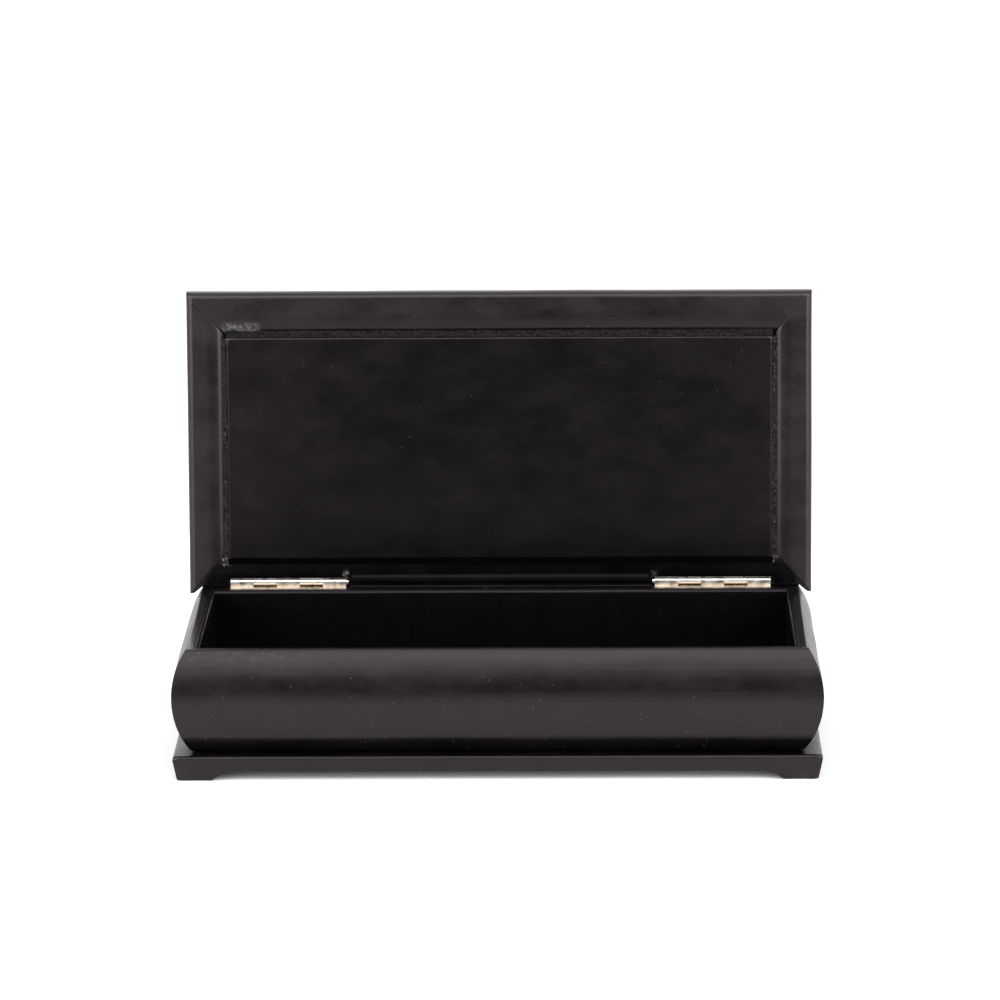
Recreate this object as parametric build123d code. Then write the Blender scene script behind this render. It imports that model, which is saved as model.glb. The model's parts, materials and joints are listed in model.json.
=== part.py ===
from build123d import *
import os
from math import acos, asin, cos, radians, sin, sqrt

# Leather-covered wooden trinket box with a hinged lid, stored with the lid open on its stop.
# Sizes are in millimetres. X runs along the front, Y from front to back and Z up from the feet.
# Body pieces are drawn about the middle of the box. Lid pieces are drawn closed about the hinge axis
# and turned open at the end. The stored origin is on the floor, under the middle of the open box.

# Overall sizes
LID_WIDTH = 205.0
LID_DEPTH = 100.0  # front edge to the points of the stiles
SIDE_OVERHANG = 4.3  # past the body's top edge
FRONT_OVERHANG = 2.8
BOX_HEIGHT = 41.9  # floor to the body's top edge
LID_ANGLE = 92.5  # from closed to resting on its stop
SEAT_GAP = 0.1  # air between the closed lid and the body's top edge

# Coverings
LEATHER = 0.6
PANEL_LEATHER = 0.5

# Body walls, a cushion moulding that bulges outwards
WALL = 4.2  # core, leather and lining, at the top edge
TURNOVER = 2.4  # leather turned over the wall's top
BULGE = 4.6  # widest line of the moulding, past the top edge
BULGE_DROP = 14.9  # widest line, below the top edge
WALL_ROUND = 1.1  # outer top edge
TUCK = 1.5  # bottom edge, inside the top edge
TUCK_ROUND = 1.9

# Lining and bottom
LINING = 0.3
LINING_ROUND = 0.9
BOTTOM_BOARD = 2.6
FLOOR_PAD = 1.0

# Plinth with bracket feet
PLINTH_HEIGHT = 8.3
PLINTH_OUT = 4.7  # ledge edge, past the body's top edge
PLINTH_IN = 6.0  # inner face, inside the body's top edge
PLINTH_TAPER = 1.6  # outer face leans in this much by the floor
PLINTH_ROUND = 0.5
FOOT_HEIGHT = 3.1  # floor to the apron's lower edge
FOOT_LENGTH = 11.0
FOOT_SWEEP = 7.0  # run of the curve from foot to apron
COVER_LIFT = 0.3  # leather ends this far above the floor

# Lid frame, a crowned moulding with a rolled inner edge
STILE_WIDTH = 12.5
RAIL_WIDTH = 13.9
FRAME_THICK = 3.4
FRAME_EDGE = 2.0  # outer edge's round
FRAME_CROWN = 22.0  # radius of the face between its flat part and the rolled edge
FRAME_ROLL = 3.0
CROWN_START = 6.5  # from the outer edge
REAR_RAIL_WIDTH = 10.8  # from the stile points, beside the panel
REAR_ROLL = 1.2
REAR_EDGE = 3.0  # rear rail's outer edge beside the hinges
REAR_EASE = 6.0  # rear rail's outer edge between and over the hinges
RAIL_SETBACK = 0.5  # rear rail ends this far short of the stile points
TRIM_RISE = 2.7  # trimmed end of the rear rail, from the stile points to the body's side
TRIM_POINT = 1.0  # blunt end of the point that the trim leaves
TRIM_CLEAR = 0.1

# Lid board and panel
LID_BOARD = 2.6
BOARD_ROUND = 0.9
BOARD_SETBACK = 1.9  # board ends this far short of the stile points
PANEL_RECESS = 1.0  # panel face, behind the frame's face
PANEL_SIDE_GAP = 0.1
PANEL_FRONT_GAP = 0.9
PANEL_REAR_GAP = 0.3
PANEL_ROUND = 0.4

# Butt hinges
HINGE_LENGTH = 38.1
HINGE_INSET = 13.5  # outer end of each hinge, inside the lid's side edge
KNUCKLES = 5
KNUCKLE_GAP = 0.1
BARREL_RADIUS = 1.15
PIN_RADIUS = 0.55
PIN_PLAY = 0.05
PIN_HEAD_RADIUS = 0.8
PIN_HEAD = 0.8
LEAF = 0.6
LEAF_DROP = 0.05  # body leaf's top, below the body's top edge
LEAF_COVER = 0.8  # lid leaf, under the face of the rear rail
LEAF_MARGIN = 0.4  # lid leaf, short of the frame's rolled edge
AXIS_BEHIND = 1.4  # axis, behind the body's top edge
AXIS_RISE = 1.4  # axis, above the body's top edge
STILE_POINT = 3.8  # stile points, past the axis when closed
BARREL_CLEAR = 0.15
NOTCH_CLEAR = 0.3

# Hinge screws
SCREWS_PER_LEAF = 3
SCREW_PITCH = 13.0
SCREW_RADIUS = 0.4
SCREW_HEAD_RADIUS = 0.7
SCREW_HEAD = 0.4
SCREW_LENGTH = 2.2
SCREW_SLOT = 0.25

# Sizes that follow from the ones above
BODY_WIDTH = LID_WIDTH - 2 * SIDE_OVERHANG
BODY_DEPTH = LID_DEPTH - FRONT_OVERHANG - AXIS_BEHIND - STILE_POINT
CORE_IN = WALL - LINING  # inner face of the wall cores, inside the top edge
BOARD_TOP = PLINTH_HEIGHT + BOTTOM_BOARD
BULGE_HEIGHT = BOX_HEIGHT - BULGE_DROP
AXIS_Y = BODY_DEPTH / 2 + AXIS_BEHIND
AXIS_Z = BOX_HEIGHT + AXIS_RISE
LID_FACE = SEAT_GAP - AXIS_RISE  # underside of the closed lid, from the axis
LID_FRONT = STILE_POINT - LID_DEPTH
LID_BACK = LID_FACE + FRAME_THICK  # where the frame meets the board
LID_TOP = LID_BACK + LID_BOARD + LEATHER
LEAF_REACH = REAR_RAIL_WIDTH - STILE_POINT - LEATHER - REAR_ROLL - LEAF_MARGIN
LEAF_TOP = -AXIS_RISE - LEAF_DROP  # body leaf, from the axis
HINGE_CENTRE = LID_WIDTH / 2 - HINGE_INSET - HINGE_LENGTH / 2
FAR = 20.0  # reach of cutting tools past what they cut

OUTWARD = {"front": (0, -1), "rear": (0, 1), "left": (-1, 0), "right": (1, 0)}


def round_corner(face, corner, radius):
    """The flat shape with the corner at or nearest to the given point rounded."""
    return fillet(face.vertices().sort_by_distance((*corner, 0))[0], radius)


def section(corners):
    """Closed outline through (u, z, radius) corners, each rounded by its radius."""
    face = make_face(Polyline(*[(u, z) for u, z, _ in corners], close=True))
    for u, z, radius in corners:
        if radius > 0:
            face = round_corner(face, (u, z), radius)
    return face


def mitred_side(profile, side, width, depth, centre_y=0.0, pitch=1.0):
    """One side of a mitred frame: profile is (distance outwards from the frame's edge, height).

    The mitres shorten each end by pitch for every step inwards.
    """
    outward = Vector(*OUTWARD[side], 0)
    half = (width if side in ("front", "rear") else depth) / 2
    edge = (outward.X * width / 2, centre_y + outward.Y * depth / 2, 0)
    upright = Plane(origin=edge, x_dir=outward, z_dir=outward.cross(Vector(0, 0, 1)))
    flat = Plane(origin=edge, x_dir=outward, z_dir=(0, 0, 1))
    bar = extrude(upright * profile, amount=half + FAR, both=True)
    outer, inner = half + FAR * pitch, half - FAR * pitch
    wedge = Polyline((FAR, outer), (FAR, -outer), (-FAR, -inner), (-FAR, inner), close=True)
    return bar & extrude(flat * make_face(wedge), amount=BOX_HEIGHT + FAR, both=True)


def block(x_range, y_range, z_range):
    """Box between two values on each axis."""
    sizes = [high - low for low, high in (x_range, y_range, z_range)]
    middle = [(high + low) / 2 for low, high in (x_range, y_range, z_range)]
    return Pos(*middle) * Box(*sizes)


def slab(half_width, y_range, z_range, radius, rounded_end):
    """Board whose edges are rounded round its top (rounded_end -1) or bottom (rounded_end 0) face."""
    board = block((-half_width, half_width), y_range, z_range)
    return fillet(board.faces().sort_by(Axis.Z)[rounded_end].edges(), radius)


def rod(x_range, radius):
    """Cylinder along X, centred on the hinge axis."""
    low, high = x_range
    return Pos((low + high) / 2, 0, 0) * Cylinder(radius, high - low, rotation=(0, 90, 0))


# Body walls


def wall_profile(inset):
    """Cushion moulding, its top and outer faces set in by inset from the leather surface."""
    low = BULGE_HEIGHT - PLINTH_HEIGHT
    upper_radius = (BULGE_DROP**2 + BULGE**2) / (2 * BULGE)
    lower_radius = (low**2 + (BULGE + TUCK) ** 2) / (2 * (BULGE + TUCK))

    def on_arc(radius, height):
        rise = height - BULGE_HEIGHT
        return (BULGE - radius + sqrt((radius - inset) ** 2 - rise**2), height)

    top = BOX_HEIGHT - inset
    crest = (BULGE - inset, BULGE_HEIGHT)
    upper_end = on_arc(upper_radius, top)
    lower_end = on_arc(lower_radius, PLINTH_HEIGHT)
    outline = [
        Line((-CORE_IN, PLINTH_HEIGHT), lower_end),
        ThreePointArc(lower_end, on_arc(lower_radius, (BULGE_HEIGHT + PLINTH_HEIGHT) / 2), crest),
        ThreePointArc(crest, on_arc(upper_radius, (BULGE_HEIGHT + top) / 2), upper_end),
        Line(upper_end, (-CORE_IN, top)),
        Line((-CORE_IN, top), (-CORE_IN, PLINTH_HEIGHT)),
    ]
    face = make_face(outline)
    face = round_corner(face, upper_end, WALL_ROUND - inset)
    return round_corner(face, lower_end, TUCK_ROUND + LEATHER - inset)


def wall_profiles():
    """Sections of a wall's core, of the leather over it and of the lining inside it."""
    top = BOX_HEIGHT - LEATHER
    core = round_corner(wall_profile(LEATHER), (-CORE_IN, top), LINING_ROUND)
    bare = Pos(-TURNOVER - FAR / 2, top) * Rectangle(FAR, FAR)
    leather = wall_profile(0) - wall_profile(LEATHER) - bare
    high = top + LINING
    block_of_lining = section(
        [
            (-WALL, BOARD_TOP, 0),
            (-TURNOVER, BOARD_TOP, 0),
            (-TURNOVER, high, 0),
            (-WALL, high, LINING_ROUND + LINING),
        ]
    )
    return core, leather, block_of_lining - core


def plinth_profile(inset, bottom):
    """Tapered plinth moulding, its top and outer faces set in by inset, cut off at bottom."""
    radius = PLINTH_ROUND + LEATHER - inset
    top = PLINTH_HEIGHT - inset
    foot = PLINTH_OUT - PLINTH_TAPER - inset
    moulding = section(
        [(-PLINTH_IN, 0, 0), (foot, 0, radius), (PLINTH_OUT - inset, top, radius), (-PLINTH_IN, top, 0)]
    )
    return moulding - Pos(0, bottom - FAR / 2) * Rectangle(4 * FAR, FAR)


def foot_arch(side):
    """Space under the apron between two bracket feet, cut right through one side of the plinth."""
    outward = Vector(*OUTWARD[side], 0)
    length, across = (BODY_WIDTH, BODY_DEPTH) if side in ("front", "rear") else (BODY_DEPTH, BODY_WIDTH)
    half = length / 2 + PLINTH_OUT - PLINTH_TAPER - FOOT_LENGTH
    radius = (FOOT_SWEEP**2 + FOOT_HEIGHT**2) / (2 * FOOT_HEIGHT)
    quarter = FOOT_SWEEP / 2
    quarter_height = FOOT_HEIGHT - radius + sqrt(radius**2 - quarter**2)
    flat = half - FOOT_SWEEP
    outline = [
        ThreePointArc((-half, 0), (-flat - quarter, quarter_height), (-flat, FOOT_HEIGHT)),
        Line((-flat, FOOT_HEIGHT), (flat, FOOT_HEIGHT)),
        ThreePointArc((flat, FOOT_HEIGHT), (flat + quarter, quarter_height), (half, 0)),
        Polyline((half, 0), (half, -FAR), (-half, -FAR), (-half, 0)),
    ]
    start = outward * (across / 2 - FAR)
    plane = Plane(origin=start, x_dir=outward.cross(Vector(0, 0, 1)), z_dir=-outward)
    return extrude(plane * make_face(outline), amount=-2 * FAR)


def hinge_seat():
    """Space across the rear wall's top edge for the leaf of a hinge at x 0."""
    half = HINGE_LENGTH / 2 + BARREL_CLEAR
    return block((-half, half), (-AXIS_BEHIND - TURNOVER, FAR), (LEAF_TOP - LEAF, FAR))


# Hinges, drawn about the axis with the hinge's middle at x 0


def knuckle_range(index):
    """X range of one knuckle, counted along the barrel, without the gap to its neighbours."""
    pitch = (HINGE_LENGTH + KNUCKLE_GAP) / KNUCKLES
    start = -HINGE_LENGTH / 2 + index * pitch
    return (start, start + pitch - KNUCKLE_GAP)


def screw_places():
    """X places of one leaf's screws."""
    return [(index - (SCREWS_PER_LEAF - 1) / 2) * SCREW_PITCH for index in range(SCREWS_PER_LEAF)]


def screw(slotted=True):
    """Countersunk screw pointing up, its head's face at z 0."""
    head = Pos(0, 0, SCREW_HEAD / 2) * Cone(SCREW_HEAD_RADIUS, SCREW_RADIUS, SCREW_HEAD)
    shank = Pos(0, 0, SCREW_LENGTH / 2) * Cylinder(SCREW_RADIUS, SCREW_LENGTH)
    slot = Box(3 * SCREW_HEAD_RADIUS, SCREW_SLOT, SCREW_SLOT)
    return head + shank - slot if slotted else head + shank


def body_screw_seats():
    """Places of the screws that hold the body leaf down, between the barrel and the lining."""
    middle = -(AXIS_BEHIND + TURNOVER + BARREL_RADIUS) / 2
    return [Pos(x, middle, LEAF_TOP) * Rot(180, 0, 0) for x in screw_places()]


def lid_screw_seats():
    """Places of the screws that hold the lid leaf, heads under the leather."""
    middle = -(LEAF_REACH + BARREL_RADIUS) / 2
    return [Pos(x, middle, LID_FACE + LEAF_COVER) for x in screw_places()]


def body_leaf():
    """Narrow leaf let into the rear wall's top edge, with a neck up to each of its knuckles."""
    half = HINGE_LENGTH / 2
    low = LEAF_TOP - LEAF
    leaf = block((-half, half), (-AXIS_BEHIND - TURNOVER, 0), (low, LEAF_TOP))
    for index in range(0, KNUCKLES, 2):
        leaf += block(knuckle_range(index), (-BARREL_RADIUS, 0), (low, 0))
        leaf += rod(knuckle_range(index), BARREL_RADIUS)
    leaf -= rod((-HINGE_LENGTH, HINGE_LENGTH), PIN_RADIUS)
    for seat in body_screw_seats():
        leaf -= seat * screw(slotted=False)
    return leaf


def lid_leaf():
    """Flat leaf let into the rear rail's core, cut back round the other leaf's knuckles."""
    half = HINGE_LENGTH / 2
    low = LID_FACE + LEAF_COVER
    leaf = block((-half, half), (-LEAF_REACH, 0), (low, low + LEAF))
    for index in range(KNUCKLES):
        start, end = knuckle_range(index)
        if index % 2:
            leaf += rod((start, end), BARREL_RADIUS)
        else:
            leaf -= rod((start - KNUCKLE_GAP, end + KNUCKLE_GAP), BARREL_RADIUS + BARREL_CLEAR)
    leaf -= rod((-HINGE_LENGTH, HINGE_LENGTH), PIN_RADIUS + PIN_PLAY)
    for seat in lid_screw_seats():
        leaf -= seat * screw(slotted=False)
    return leaf


def hinge_pin(inner_end):
    """Pin through the knuckles, with a small head at the barrel's inner end (-1 or 1)."""
    half = HINGE_LENGTH / 2
    head = sorted((inner_end * half, inner_end * (half + PIN_HEAD)))
    return rod((-half, half), PIN_RADIUS) + rod(head, PIN_HEAD_RADIUS)


# Lid, drawn closed about the hinge axis


def arc(centre, radius, start, end):
    """Arc whose angles are counted from straight down, towards the frame's inner edge."""
    angles = (start, (start + end) / 2, end)
    return ThreePointArc(*[(centre[0] - radius * sin(a), centre[1] - radius * cos(a)) for a in angles])


def frame_profile(inset, width, roll=FRAME_ROLL, cut_back=0.0, edge=FRAME_EDGE):
    """Crowned lid moulding with its outer edge cut back, its shown faces set in by inset."""
    turn = asin((width - roll - CROWN_START) / (FRAME_CROWN - roll))
    edge_centre = (-cut_back - edge, LID_FACE + edge)
    crown_centre = (-CROWN_START, LID_FACE + FRAME_CROWN)
    roll_centre = (roll - width, crown_centre[1] - (FRAME_CROWN - roll) * cos(turn))
    edge_end = acos(max(0, edge_centre[1] - LID_BACK) / (edge - inset))
    roll_end = acos(max(0, roll_centre[1] - LID_BACK) / (roll - inset))
    edge_arc = arc(edge_centre, edge - inset, -edge_end, 0)
    crown_arc = arc(crown_centre, FRAME_CROWN - inset, 0, turn)
    roll_arc = arc(roll_centre, roll - inset, turn, roll_end)
    shown = [edge_arc, crown_arc, roll_arc]
    if edge_arc @ 1 != crown_arc @ 0:
        shown.insert(1, Line(edge_arc @ 1, crown_arc @ 0))
    inner, outer = roll_arc @ 1, edge_arc @ 0
    back = [inner, (inner.X, LID_BACK), (outer.X, LID_BACK), outer]
    steps = [(a, b) for a, b in zip(back, back[1:]) if Vector(a) != Vector(b)]
    return make_face(shown + [Line(a, b) for a, b in steps])


def lid_side(profile, side):
    """One mitred side of the lid's frame, the mitres running to the frame's inner corners."""
    rail = side in ("front", "rear")
    pitch = STILE_WIDTH / RAIL_WIDTH if rail else RAIL_WIDTH / STILE_WIDTH
    return mitred_side(profile, side, LID_WIDTH, LID_DEPTH, LID_FRONT + LID_DEPTH / 2, pitch)


def rear_rail(inset):
    """Rear rail: narrow and eased beside the panel, full beside the hinges, trimmed to points."""
    body_side = BODY_WIDTH / 2 + TRIM_CLEAR
    zones = [
        (LID_WIDTH / 2 - STILE_WIDTH, (REAR_RAIL_WIDTH, REAR_ROLL, RAIL_SETBACK, REAR_EASE)),
        (body_side, (RAIL_WIDTH, FRAME_ROLL, RAIL_SETBACK, REAR_EDGE)),
        (LID_WIDTH / 2, (RAIL_WIDTH,)),
    ]
    rail, start = None, 0.0
    for end, sizes in zones:
        reach = block((-end, end), (-LID_DEPTH, LID_DEPTH), (-FAR, FAR))
        if start > 0:
            reach -= block((-start, start), (-LID_DEPTH, LID_DEPTH), (-FAR, FAR))
        part = lid_side(frame_profile(inset, *sizes), "rear") & reach
        rail = part if rail is None else rail + part
        start = end
    point = LID_WIDTH / 2 - TRIM_POINT
    slope = TRIM_RISE / (point - body_side)
    trim = [(body_side, STILE_POINT - TRIM_RISE), (point + FAR, STILE_POINT + FAR * slope), (body_side, FAR)]
    for side in (-1, 1):
        face = make_face(Polyline(*[(side * x, y - inset) for x, y in trim], close=True))
        rail -= extrude(face, amount=FAR, both=True)
    return rail


def barrel_notch():
    """Space in the rear rail for the barrel and the pin's head."""
    half = HINGE_LENGTH / 2 + PIN_HEAD + NOTCH_CLEAR
    reach = BARREL_RADIUS + NOTCH_CLEAR
    return block((-half, half), (-reach, FAR), (-FAR, reach))


def leaf_mortise():
    """Space in the rear rail's core for the lid leaf."""
    half = HINGE_LENGTH / 2
    return block((-half, half), (-LEAF_REACH, 0), (LID_FACE, LID_FACE + LEAF_COVER + LEAF))


def at_hinges(shape):
    """The shape at both hinges."""
    return Pos(-HINGE_CENTRE, 0, 0) * shape + Pos(HINGE_CENTRE, 0, 0) * shape


def lid_frame():
    """The frame's four wood cores and four leather wraps."""
    pieces = {}
    for side, width in (("front", RAIL_WIDTH), ("left", STILE_WIDTH), ("right", STILE_WIDTH)):
        name = "lid_front_rail" if side == "front" else f"lid_{side}_stile"
        core = lid_side(frame_profile(LEATHER, width), side)
        pieces[f"{name}_core"] = core
        pieces[f"{name}_leather"] = lid_side(frame_profile(0, width), side) - core
    core = rear_rail(LEATHER)
    wrap = rear_rail(0) - core - at_hinges(barrel_notch())
    core -= at_hinges(barrel_notch()) + at_hinges(leaf_mortise())
    for seat in lid_screw_seats():
        core -= at_hinges(seat * screw(slotted=False))
    pieces["lid_rear_rail_core"] = core
    pieces["lid_rear_rail_leather"] = wrap
    return pieces


def lid_top():
    """Lid board and the leather over its top and edges."""
    low, high = LID_BACK, LID_BACK + LID_BOARD
    rear = STILE_POINT - BOARD_SETBACK
    half = LID_WIDTH / 2
    skin = LEATHER
    board = slab(half - skin, (LID_FRONT + skin, rear - skin), (low, high), BOARD_ROUND, -1)
    whole = slab(half, (LID_FRONT, rear), (low, LID_TOP), BOARD_ROUND + skin, -1)
    return {"lid_board": board, "lid_top_leather": whole - board}


def lid_panel():
    """Inner panel set in the frame: a card with leather over its face and edges."""
    face = LID_FACE + PANEL_RECESS
    half = LID_WIDTH / 2 - STILE_WIDTH - PANEL_SIDE_GAP
    front = LID_FRONT + RAIL_WIDTH + PANEL_FRONT_GAP
    rear = STILE_POINT - REAR_RAIL_WIDTH - PANEL_REAR_GAP
    skin = PANEL_LEATHER
    card = slab(half - skin, (front + skin, rear - skin), (face + skin, LID_BACK), PANEL_ROUND, 0)
    whole = slab(half, (front, rear), (face, LID_BACK), PANEL_ROUND + skin, 0)
    return {"lid_panel_card": card, "lid_panel_leather": whole - card}


def body_pieces():
    """Everything that stays with the body, about the middle of the box."""
    pieces = {}
    core_profile, leather_profile, lined_profile = wall_profiles()
    at_axis = Pos(0, AXIS_Y, AXIS_Z)
    for side in OUTWARD:
        frame = (side, BODY_WIDTH, BODY_DEPTH)
        plinth_core = mitred_side(plinth_profile(LEATHER, 0), *frame)
        plinth_whole = mitred_side(plinth_profile(0, COVER_LIFT), *frame)
        pieces[f"plinth_{side}_core"] = plinth_core - foot_arch(side)
        pieces[f"plinth_{side}_leather"] = plinth_whole - plinth_core - foot_arch(side)
        wall_core = mitred_side(core_profile, *frame)
        wall_leather = mitred_side(leather_profile, *frame)
        if side == "rear":
            wall_leather -= at_axis * at_hinges(hinge_seat())
            wall_core -= at_axis * at_hinges(hinge_seat())
            for seat in body_screw_seats():
                wall_core -= at_axis * at_hinges(seat * screw(slotted=False))
        pieces[f"wall_{side}_core"] = wall_core
        pieces[f"wall_{side}_leather"] = wall_leather
        pieces[f"lining_{side}"] = mitred_side(lined_profile, *frame)
    board_x = BODY_WIDTH / 2 - CORE_IN
    board_y = BODY_DEPTH / 2 - CORE_IN
    pieces["bottom_board"] = block((-board_x, board_x), (-board_y, board_y), (PLINTH_HEIGHT, BOARD_TOP))
    pad_x, pad_y = board_x - LINING, board_y - LINING
    pieces["floor_pad"] = block((-pad_x, pad_x), (-pad_y, pad_y), (BOARD_TOP, BOARD_TOP + FLOOR_PAD))
    return pieces


def hinge_pieces():
    """Hinge parts that stay with the body and parts that turn with the lid, about the axis."""
    fixed, turning = {}, {}
    for side, sign in (("left", -1), ("right", 1)):
        place = Pos(sign * HINGE_CENTRE, 0, 0)
        fixed[f"hinge_{side}_body_leaf"] = place * body_leaf()
        fixed[f"hinge_{side}_pin"] = place * hinge_pin(-sign)
        turning[f"hinge_{side}_lid_leaf"] = place * lid_leaf()
    fixed["hinge_body_screws"] = screw_set(body_screw_seats())
    turning["hinge_lid_screws"] = screw_set(lid_screw_seats())
    return fixed, turning


def screw_set(seats):
    """The screws of both hinges' leaves of one kind, as separate solids of one node."""
    places = [Pos(sign * HINGE_CENTRE, 0, 0) * seat for sign in (-1, 1) for seat in seats]
    return Compound(children=[(place * screw()).solid() for place in places])


def model():
    """All pieces by name, in the stored frame with the lid open."""
    lean = radians(LID_ANGLE - 90)
    front = -BODY_DEPTH / 2 - max(PLINTH_OUT, BULGE)
    rear = AXIS_Y - LID_FRONT * sin(lean) + LID_TOP * cos(lean)
    to_frame = Pos(0, -(front + rear) / 2, 0)
    at_axis = to_frame * Pos(0, AXIS_Y, AXIS_Z)
    opened = at_axis * Rot(-LID_ANGLE, 0, 0)
    fixed, turning = hinge_pieces()
    lid = {**lid_frame(), **lid_top(), **lid_panel(), **turning}
    print("hinge axis", [round(value, 4) for value in at_axis.position])
    return {
        **{name: to_frame * piece for name, piece in body_pieces().items()},
        **{name: at_axis * piece for name, piece in fixed.items()},
        **{name: opened * piece for name, piece in lid.items()},
    }


os.makedirs("parts", exist_ok=True)
for name, piece in model().items():
    export_step(piece, f"parts/{name}.step")
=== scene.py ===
"""Looks of a leather-covered trinket box with an open lid, in a white studio.

The leather skins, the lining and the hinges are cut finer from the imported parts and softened. The
strips round the lid's panel are this script's own: they are drawn with the lid closed, about the
hinge axis, and turned open with it.
"""
import json
import logging
from collections.abc import Callable
from dataclasses import dataclass
from enum import Enum
from math import cos, radians, sin

import bmesh
import bpy
from mathutils import Matrix, Vector, noise

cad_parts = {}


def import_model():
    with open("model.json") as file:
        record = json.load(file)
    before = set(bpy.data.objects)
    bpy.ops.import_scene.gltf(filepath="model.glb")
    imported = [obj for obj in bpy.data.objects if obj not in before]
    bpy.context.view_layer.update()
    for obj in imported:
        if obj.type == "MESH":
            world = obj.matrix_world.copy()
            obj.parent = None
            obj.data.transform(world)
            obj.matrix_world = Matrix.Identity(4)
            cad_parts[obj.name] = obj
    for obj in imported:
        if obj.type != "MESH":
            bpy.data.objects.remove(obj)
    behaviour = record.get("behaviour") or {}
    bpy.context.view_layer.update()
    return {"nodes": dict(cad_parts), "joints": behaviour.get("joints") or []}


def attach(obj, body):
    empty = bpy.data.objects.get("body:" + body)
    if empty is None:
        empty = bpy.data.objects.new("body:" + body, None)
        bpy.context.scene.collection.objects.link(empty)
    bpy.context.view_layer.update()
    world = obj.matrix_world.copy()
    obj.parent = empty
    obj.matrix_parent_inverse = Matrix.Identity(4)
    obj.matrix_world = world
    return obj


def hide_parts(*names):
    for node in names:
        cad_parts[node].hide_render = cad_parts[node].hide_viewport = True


LOG = logging.getLogger("trinket_box")
MM = 0.001
Pair = tuple[float, float]
Triple = tuple[float, float, float]
Colour = tuple[float, float, float]
Socket = bpy.types.NodeSocket

PURPLISH: Colour = (1.0, 0.85, 0.95)  # tint of the light that the dyed leather mirrors
WORN_GREY_AND_HIGHLIGHT: Colour = (0.16, 0.15, 0.145)  # leather rubbed through to its fibre; along the lid's rear rail it is a painted highlight
BROWN: Colour = (0.045, 0.022, 0.018)  # soiling at the feet
SMOOTH_DARK_AND_SHADE: Colour = (0.002, 0.0016, 0.002)  # smooth dark leather without dust; on the rear wall's top it is painted shade in the crevice under the lid's rear rail

# Where in the noise each direction of the unevenness is read
DRIFT_OFFSETS = (Vector((9.3, 1.5, 7.9)), Vector((3.1, 6.7, 2.2)), Vector((4.4, 8.1, 5.6)))
SLOW_WAVE = 34 * MM
SHORT_WAVE = 7 * MM
SHORT_OFFSET = Vector((5.3, 1.7, 9.1))

MERGE_REACH = 0.0005 * MM
FLAT_ANGLE = radians(0.6)  # faces that meet at less are one
SHARP_ANGLE = radians(38)  # edges sharper than this are eased
CUT_REACH = 0.0002 * MM
CUT_STRAY = 0.37  # range in which a cut strays from even spacing, in lengths
CUT_RHYTHM = 2.1  # step from one cut's stray to the next, in radians
SEAT_FADE = 4 * MM  # height over which the unevenness dies out below the seat

FILL_CELL = 0.45 * MM
FILL_THICKNESS = 0.25 * MM
FINE_LUMP = 0.8 * MM
COARSE_LUMP = 3.1 * MM
COARSE_SHARE = 0.6


class Axis(Enum):
    """Direction that a piece runs in."""

    X = 0
    Y = 1
    Z = 2


SIDES = {"front": Axis.X, "rear": Axis.X, "left": Axis.Y, "right": Axis.Y}
FRAME = {"front_rail": Axis.X, "rear_rail": Axis.X, "left_stile": Axis.Z, "right_stile": Axis.Z}


@dataclass(frozen=True)
class Pattern:
    """Soft noise in a finish, with values about 0.5."""

    size: float  # width of the largest spots, in metres
    detail: float = 3.0  # finer octaves
    rough: float = 0.55  # strength of the finer octaves
    stretch: Triple = (1, 1, 1)  # factors on the coordinates
    low: float = 0.3  # value up to which there is none of it
    high: float = 0.7  # value from which there is all of it


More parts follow.
